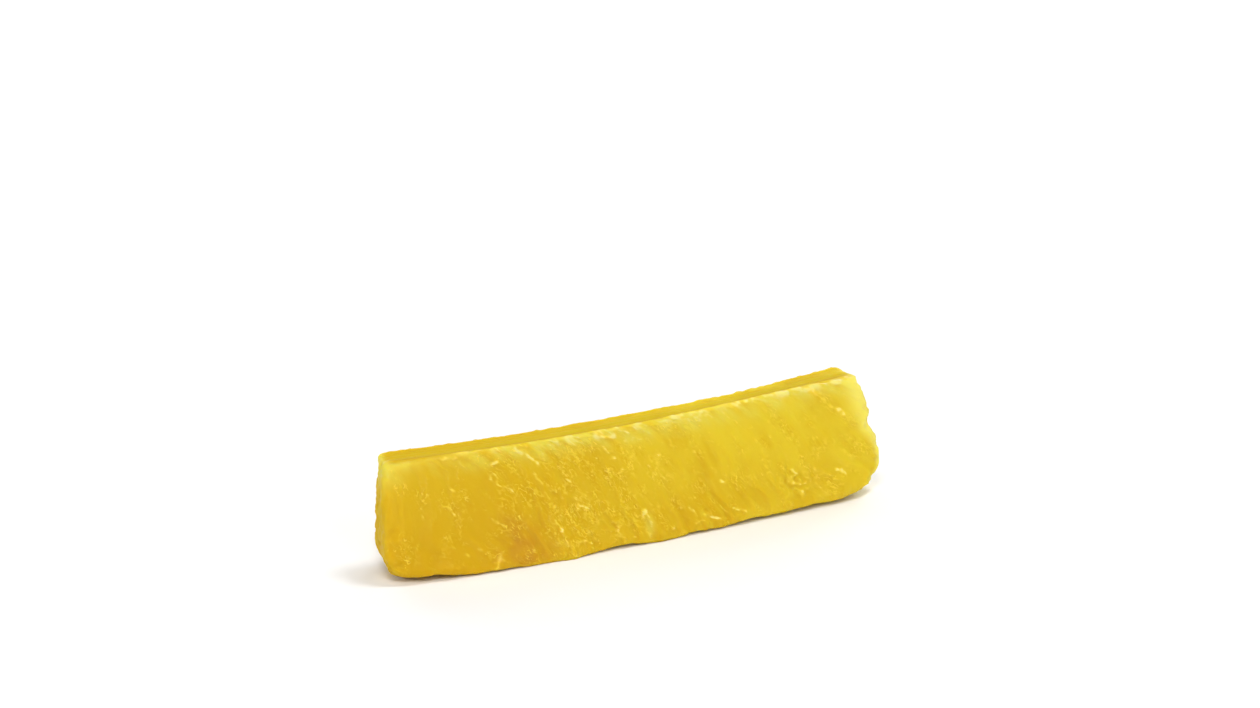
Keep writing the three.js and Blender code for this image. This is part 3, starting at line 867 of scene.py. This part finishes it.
def node(kind, settings=None, **sockets):
    made = nodes.new(kind)
    for name, value in (settings or {}).items():
        setattr(made, name, value)
    for name, value in sockets.items():
        socket = made.inputs[name.replace("_", " ")]
        if isinstance(value, bpy.types.NodeSocket):
            links.new(value, socket)
        else:
            socket.default_value = value
    return made


def ranged(value, low, high, out_low=0.0, out_high=1.0):
    return node("ShaderNodeMapRange", {"interpolation_type": "SMOOTHSTEP"}, Value=value, From_Min=low,
                From_Max=high, To_Min=out_low, To_Max=out_high).outputs["Result"]


def calculated(operation, *values, kind="ShaderNodeMath"):
    made = node(kind, {"operation": operation})
    for socket, value in zip(made.inputs, values):
        if isinstance(value, bpy.types.NodeSocket):
            links.new(value, socket)
        else:
            socket.default_value = value
    return made.outputs[0]


def blended(share, first, second):
    made = node("ShaderNodeMix", {"data_type": "RGBA"})
    for name, value in (("Factor_Float", share), ("A_Color", first), ("B_Color", second)):
        socket = next(s for s in made.inputs if s.identifier == name)
        if isinstance(value, bpy.types.NodeSocket):
            links.new(value, socket)
        else:
            socket.default_value = value
    return next(s for s in made.outputs if s.identifier == "Result_Color")


def attribute(name, output="Fac"):
    return node("ShaderNodeAttribute", {"attribute_name": name}).outputs[output]


def linear(red, green, blue):
    """A screen colour from 0 to 255 as Blender's linear light."""
    screen = (channel / 255 for channel in (red, green, blue))
    return (*(c / 12.92 if c <= 0.04045 else ((c + 0.055) / 1.055) ** 2.4 for c in screen), 1)


print("helpers ready for", flesh.name)

# %% [markdown]
# ## Ripe gold to lemon
# The flesh is golden at its lower left and lemon yellow at its upper right, with cloudy deeper spots. One
# blend of two colours, driven by object coordinates, gives the run from gold to lemon, and a large soft
# noise the clouds. Object coordinates are in metres, so from here on the sizes are too.

# %% The flesh's colours, and the first blend
GOLDEN = linear(202, 161, 25)
LEMON = linear(216, 189, 44)
GLOW_YELLOW = linear(238, 226, 106)
GREENISH = linear(215, 200, 76)
DEEP = linear(196, 149, 8)
STREAK = linear(221, 199, 60)
CREAM = linear(238, 221, 118)
LIP_CREAM = linear(226, 216, 132)
BRUISE_AND_SHADE_BROWN = linear(182, 122, 42)
SPECK_AND_GLINT_YELLOW = linear(244, 216, 72)
# the channel's gold, partly painted shade behind the front lip
CHANNEL_GOLD_AND_SHADE = linear(199, 171, 20)
HEIGHT_RIPENESS = 0.35  # height counts this much as going right does

place = node("ShaderNodeTexCoord").outputs["Object"]
spread = node("ShaderNodeSeparateXYZ", Vector=place)
along_spear = ranged(spread.outputs["X"], -0.07, 0.075)
height_share = ranged(spread.outputs["Z"], 0.0, 0.034)
cloud = node("ShaderNodeTexNoise", Vector=place, Scale=55.0, Detail=3.0).outputs["Fac"]
ripeness = node("ShaderNodeMath", {"operation": "MULTIPLY_ADD", "use_clamp": True})
links.new(height_share, ripeness.inputs[0])
ripeness.inputs[1].default_value = HEIGHT_RIPENESS
links.new(along_spear, ripeness.inputs[2])
flesh_colour = blended(ripeness.outputs[0], GOLDEN, LEMON)
flesh_colour = blended(ranged(cloud, 0.35, 0.75, 0.0, 0.35), flesh_colour, DEEP)
print("colour nodes so far:", len(nodes))

# %% [markdown]
# ## Patterns that follow the strands
# Strands, torn threads, specks and squiggles all run with the fan. So their noises read the strands'
# coordinates from the attribute, divided by the size of a grain: its width, its depth and its length. A
# Mapping node could only stretch them one way everywhere, but the fan turns along the spear.

# %% Streaks, threads, specks and squiggles
BROAD_STREAK, NARROW_STREAK = (0.0045, 0.03, 2.0), (0.0019, 0.007, 3.0)  # width, length, noise detail
TORN_PATCH, CROOKED_THREAD, THREAD_GAP = (0.0045, 0.006, 1.0), (0.0016, 0.0024, 1.0), (0.0009, 0.0011, 0.0)
SPECK, SQUIGGLE = (0.0015, 0.0022, 0.0021), (0.0016, 0.003, 0.0021)  # width, depth, length
TORN_IN_PATCHES = 0.35
CRINKLE = 1.4

course_here = attribute("course", "Vector")


def on_strands(width, depth, length):
    """The strands' coordinates, divided by a grain's size."""
    grains_a_metre = (1 / width, 1 / depth, 1 / length)
    return calculated("MULTIPLY", course_here, grains_a_metre, kind="ShaderNodeVectorMath")


def streaks(width, length, detail):
    grain_here = on_strands(width, 2 * width, length)
    return node("ShaderNodeTexNoise", Vector=grain_here, Scale=1.0, Detail=detail).outputs["Fac"]


on_cut_face = ranged(attribute("torn"), 0.0, 0.025)
broad = streaks(*BROAD_STREAK)
narrow = streaks(*NARROW_STREAK)
more_where_torn = calculated("MULTIPLY", attribute("torn"), TORN_IN_PATCHES)
patches = calculated("ADD", streaks(*TORN_PATCH), more_where_torn)

crooked = calculated("ABSOLUTE", calculated("SUBTRACT", streaks(*CROOKED_THREAD), 0.5))
gaps = ranged(streaks(*THREAD_GAP), 0.46, 0.6)
thin_threads = calculated("MULTIPLY", ranged(crooked, 0.0, 0.05, 1.0, 0.0), ranged(patches, 0.6, 0.72))
thin_threads = calculated("MULTIPLY", calculated("MULTIPLY", thin_threads, gaps), on_cut_face)

crinkle = node("ShaderNodeTexNoise", Vector=place, Scale=1100.0, Detail=1.0).outputs["Color"]
crinkle = calculated("SUBTRACT", crinkle, (0.5, 0.5, 0.5), kind="ShaderNodeVectorMath")
crinkle = calculated("MULTIPLY", crinkle, (CRINKLE, CRINKLE, CRINKLE), kind="ShaderNodeVectorMath")
speck_place = calculated("ADD", on_strands(*SPECK), crinkle, kind="ShaderNodeVectorMath")
speck_cells = node("ShaderNodeTexVoronoi", Vector=speck_place, Scale=1.0)
chosen = node("ShaderNodeSeparateColor", Color=speck_cells.outputs["Color"]).outputs["Red"]
specks = ranged(speck_cells.outputs["Distance"], 0.05, 0.42, 1.0, 0.0)
specks = calculated("MULTIPLY", specks, ranged(chosen, 0.45, 0.9))
specks = calculated("MULTIPLY", specks, ranged(patches, 0.5, 0.66))
specks = calculated("MULTIPLY", specks, on_cut_face)
raised = calculated("MAXIMUM", thin_threads, specks)

squiggle_noise = node("ShaderNodeTexNoise", Vector=on_strands(*SQUIGGLE), Scale=1.0, Detail=1.0,
                      Distortion=1.8)
squiggles = squiggle_noise.outputs["Fac"]
squiggly = calculated("MULTIPLY", ranged(patches, 0.46, 0.68, 0.08, 1.0), on_cut_face)
squiggly = calculated("MULTIPLY", squiggly, ranged(spread.outputs["X"], -0.065, -0.035, 0.4, 1.0))
print("colour nodes so far:", len(nodes))

# %% [markdown]
# ## Colour upon colour
# Like glazes on a painting, each colour is laid over the last one, from the largest form to the smallest.
# Streaks and squiggles come first, the squiggles painted lighter where they rise, a painted highlight, and
# darker where they sink, a painted shade. Then come the green band with the painted sheen on the left
# corner, the painted glow of the right end, the channel with its painted shade and the golden spots with
# the painted shade of grooves and hollows, then the torn strands, which are yellow where thin and nearly
# cream on the lip, some of their paleness a painted highlight, and last the bruise with the painted shade
# behind the lip, and the specks, whose pale yellow is partly a painted glint. Each is one blend, so any
# of them can be changed alone.

# %% The blends, from large to small
TINTS = [  # attribute, value at which it starts, strength, colour
    ("greenish", 0.0, 0.85, GREENISH),
    ("rim", 0.0, 0.8, GLOW_YELLOW),
    ("channel", 0.2, 0.8, CHANNEL_GOLD_AND_SHADE),
    ("golden_and_shade", 0.0, 0.6, DEEP),
]
RAISED_TINT_AND_GLINT = 0.7

patchy = node("ShaderNodeTexNoise", Vector=place, Scale=90.0, Detail=1.0).outputs["Fac"]
rightwards = ranged(spread.outputs["X"], -0.05, 0.02, 0.3, 1.0)
streaky = calculated("MULTIPLY", ranged(patchy, 0.4, 0.65, 0.05, 1.0), rightwards)
dark_streaks = calculated("MULTIPLY", ranged(broad, 0.42, 0.7, 0.0, 0.36), streaky)
light_streaks = calculated("MULTIPLY", ranged(narrow, 0.5, 0.75, 0.0, 0.3), streaky)
# painted shade where the squiggles sink, then a painted highlight where they rise
painted_squiggle_shade = calculated("MULTIPLY", ranged(squiggles, 0.32, 0.48, 0.26, 0.0), squiggly)
painted_squiggle_highlights = calculated("MULTIPLY", ranged(squiggles, 0.52, 0.68, 0.0, 0.3), squiggly)
flesh_colour = blended(dark_streaks, flesh_colour, DEEP)
flesh_colour = blended(light_streaks, flesh_colour, STREAK)
flesh_colour = blended(painted_squiggle_shade, flesh_colour, DEEP)
flesh_colour = blended(painted_squiggle_highlights, flesh_colour, SPECK_AND_GLINT_YELLOW)
for name, start, strength, colour in TINTS:
    flesh_colour = blended(ranged(attribute(name), start, 1.0, 0.0, strength), flesh_colour, colour)
strand_colour = blended(ranged(attribute("pale"), 0.5, 1.0), SPECK_AND_GLINT_YELLOW, CREAM)
strand_colour = blended(ranged(attribute("greenish"), 0.3, 0.8), strand_colour, LIP_CREAM)
flesh_colour = blended(ranged(attribute("pale"), 0.05, 1.0, 0.0, 0.75), flesh_colour, strand_colour)
# the bruise, and the painted shade behind the front lip
flesh_colour = blended(ranged(attribute("bruise_and_lip_shade"), 0.0, 1.0, 0.0, 0.6), flesh_colour, BRUISE_AND_SHADE_BROWN)
# raised threads and specks turn pale yellow: partly their own colour, partly a painted glint
flesh_colour = blended(calculated("MULTIPLY", raised, RAISED_TINT_AND_GLINT), flesh_colour, SPECK_AND_GLINT_YELLOW)
print("colour nodes:", len(nodes))

# %% [markdown]
# ## Juice, cells and fibres
# Wet flesh shines in small broken glints. Its roughness varies with the strands, and a thin coat of juice
# lies on what is torn or pale. A chain of bumps, each fed by the one before, breaks the light up below
# the size of the mesh: fibres, juice cells, squiggles and raised threads. Such detail as geometry would
# take millions of faces.

# %% Gloss and fine bumps
WET_RAISED, WET_JUICY = 0.7, 0.3
FINE_FIBRE = (0.0009, 0.0024, 2.0)
JUICE_CELL = (0.0008, 0.001, 0.0015)

surface = next(n for n in nodes if n.type == "BSDF_PRINCIPLED")
links.new(flesh_colour, surface.inputs["Base Color"])
links.new(ranged(narrow, 0.3, 0.75, 0.45, 0.65), surface.inputs["Roughness"])
wet = calculated("ADD", calculated("MULTIPLY", raised, WET_RAISED), attribute("pale"))
wet = calculated("ADD", wet, calculated("MULTIPLY", attribute("juicy"), WET_JUICY))
links.new(ranged(wet, 0.0, 1.1, 0.01, 0.6), surface.inputs["Coat Weight"])
juice_cells = node("ShaderNodeTexVoronoi", {"feature": "SMOOTH_F1"}, Vector=on_strands(*JUICE_CELL),
                   Scale=1.0)
fine_patterns = [  # pattern, strength, height in metres
    (streaks(*FINE_FIBRE), 0.2, 0.0002),
    (juice_cells.outputs["Distance"], 0.5, 0.00015),
    (calculated("MULTIPLY", squiggles, squiggly), 0.55, 0.0004),
    (raised, 0.7, 0.00025),
]
normal = None
for pattern, strength, height in fine_patterns:
    fine_bump = node("ShaderNodeBump", Strength=strength, Distance=height, Height=pattern)
    if normal is not None:
        links.new(normal, fine_bump.inputs["Normal"])
    normal = fine_bump.outputs["Normal"]
links.new(normal, surface.inputs["Normal"])
print("bumps:", len(fine_patterns))

# %% [markdown]
# ## Light inside the flesh
# Light enters the flesh and comes out yellow a few millimetres away, red travelling furthest and blue
# hardly at all. Subsurface scattering does that, and without it the spear looks like painted plastic. A
# fully glassy material would be too clear. The flesh and its juice bend light as water does, so both
# indices are close to water's 1.33.

# %% Subsurface light and the coat of juice
INSIDE_LIGHT = {
    "Subsurface Weight": 0.6,
    "Subsurface Radius": (1.0, 0.72, 0.16),
    "Subsurface Scale": 0.0042,
    "IOR": 1.33,
    "Specular IOR Level": 0.05,
    "Coat Roughness": 0.09,
    "Coat IOR": 1.34,
}
for name, value in INSIDE_LIGHT.items():
    surface.inputs[name].default_value = value
mesh.materials.append(flesh)
print("material nodes:", len(nodes))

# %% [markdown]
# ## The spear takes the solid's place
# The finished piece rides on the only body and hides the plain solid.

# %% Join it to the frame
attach(spear, "root")
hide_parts("pineapple_spear")

# %% [markdown]
# ## The floor
# A plain pale ground shows the yellow flesh best, and it throws light back onto the rind side, as a table
# does. A plane of one face is enough. It belongs to the picture and not to the object.

# %% Floor
FLOOR_SIZE = 6
FLOOR_PAINT = {"Base Color": (0.95, 0.95, 0.95, 1), "Roughness": 0.8}

floor_mesh = bpy.data.meshes.new("studio_floor")
floor_shape = bmesh.new()
bmesh.ops.create_grid(floor_shape, x_segments=1, y_segments=1, size=FLOOR_SIZE / 2)
floor_shape.to_mesh(floor_mesh)
floor_shape.free()
floor = bpy.data.objects.new("studio_floor", floor_mesh)
bpy.context.scene.collection.objects.link(floor)
paint = bpy.data.materials.new("pale_floor")
paint.use_nodes = True
paint_surface = next(n for n in paint.node_tree.nodes if n.type == "BSDF_PRINCIPLED")
for name, value in FLOOR_PAINT.items():
    paint_surface.inputs[name].default_value = value
floor_mesh.materials.append(paint)
print("floor of", FLOOR_SIZE, "m")

# %% [markdown]
# ## Studio light
# Bright light from all round keeps the shadows soft, and one large lamp above the left front gives the
# lip its shine. A small one in front makes the glints, and a low wide one behind lights the back. The sky
# is brighter overhead than near the floor, so the core side is the lightest, as in daylight. A sky of one
# strength would light every side alike and flatten the relief.

# %% Lamps and sky
LAMPS = [  # name, place, size, watts
    ("key_lamp", (-0.5, -0.7, 0.8), 0.3, 5),
    ("top_lamp", (0.25, -0.25, 1.0), 0.35, 4.5),
    ("left_lamp", (-1.1, 0.15, 0.45), 0.5, 3.9),
    ("fill_lamp", (0.1, -1.3, 0.5), 1.0, 5),
    ("rim_lamp", (0.75, 0.5, 0.45), 0.5, 3),
    ("glint_lamp", (-0.3, -0.95, 0.6), 0.12, 1.2),
    ("back_lamp", (0.1, 1.3, 0.22), 1.0, 11),
]
SKY = {"From Min": 0.1, "From Max": 0.9, "To Min": 0.4, "To Max": 2.2}  # from near the floor to overhead
TARGET = Vector((0, 0, 0.015))  # in the middle of the spear

studio = bpy.data.worlds.new("studio")
studio.use_nodes = True
sky = next(n for n in studio.node_tree.nodes if n.type == "BACKGROUND")
direction = studio.node_tree.nodes.new("ShaderNodeTexCoord")
rise = studio.node_tree.nodes.new("ShaderNodeSeparateXYZ")
brightness = studio.node_tree.nodes.new("ShaderNodeMapRange")
studio.node_tree.links.new(direction.outputs["Generated"], rise.inputs["Vector"])
studio.node_tree.links.new(rise.outputs["Z"], brightness.inputs["Value"])
studio.node_tree.links.new(brightness.outputs["Result"], sky.inputs["Strength"])
for name, value in SKY.items():
    brightness.inputs[name].default_value = value
bpy.context.scene.world = studio
for name, position, size, watts in LAMPS:
    lamp = bpy.data.lights.new(name, "AREA")
    lamp.shape = "DISK"
    lamp.size = size
    lamp.energy = watts
    stand = bpy.data.objects.new(name, lamp)
    stand.location = position
    stand.rotation_euler = (TARGET - Vector(position)).to_track_quat("-Z", "Y").to_euler()
    bpy.context.scene.collection.objects.link(stand)
bpy.context.scene.view_settings.view_transform = "Standard"
print("lamps:", [lamp[0] for lamp in LAMPS])

# %% [markdown]
# ## The camera
# The camera stands where the photographer stood, low and at the left, with a long lens. It aims a little
# above the spear, as the picture's framing asks: the spear's middle belongs at a named place in the
# frame. Moving the frame by the camera's shift would do the same, but turning the camera is what a
# photographer does.

# %% Camera
FRAME_WIDTH, FRAME_HEIGHT = 1260, 708
AZIMUTH, ELEVATION = math.radians(-33.14), math.radians(16.61)
DISTANCE = 1.2552
TARGET_PIXEL = (631.0, 478.3)  # where the middle of the spear appears in the frame
LENS, SENSOR = 135, 36

to_camera = Vector((
    math.sin(AZIMUTH) * math.cos(ELEVATION), -math.cos(AZIMUTH) * math.cos(ELEVATION), math.sin(ELEVATION)
))
rightward = Vector((math.cos(AZIMUTH), math.sin(AZIMUTH), 0))
upward = to_camera.cross(rightward)
metres_a_pixel = DISTANCE * SENSOR / LENS / FRAME_WIDTH
aim = TARGET + metres_a_pixel * (
    (TARGET_PIXEL[1] - FRAME_HEIGHT / 2) * upward - (TARGET_PIXEL[0] - FRAME_WIDTH / 2) * rightward
)
camera_data = bpy.data.cameras.new("studio_camera")
camera_data.lens = LENS
camera_data.sensor_width = SENSOR
camera = bpy.data.objects.new("studio_camera", camera_data)
camera.location = TARGET + DISTANCE * to_camera
camera.rotation_euler = (aim - camera.location).to_track_quat("-Z", "Y").to_euler()
bpy.context.scene.collection.objects.link(camera)
bpy.context.scene.camera = camera
print("the camera is", round(DISTANCE, 2), "m away")
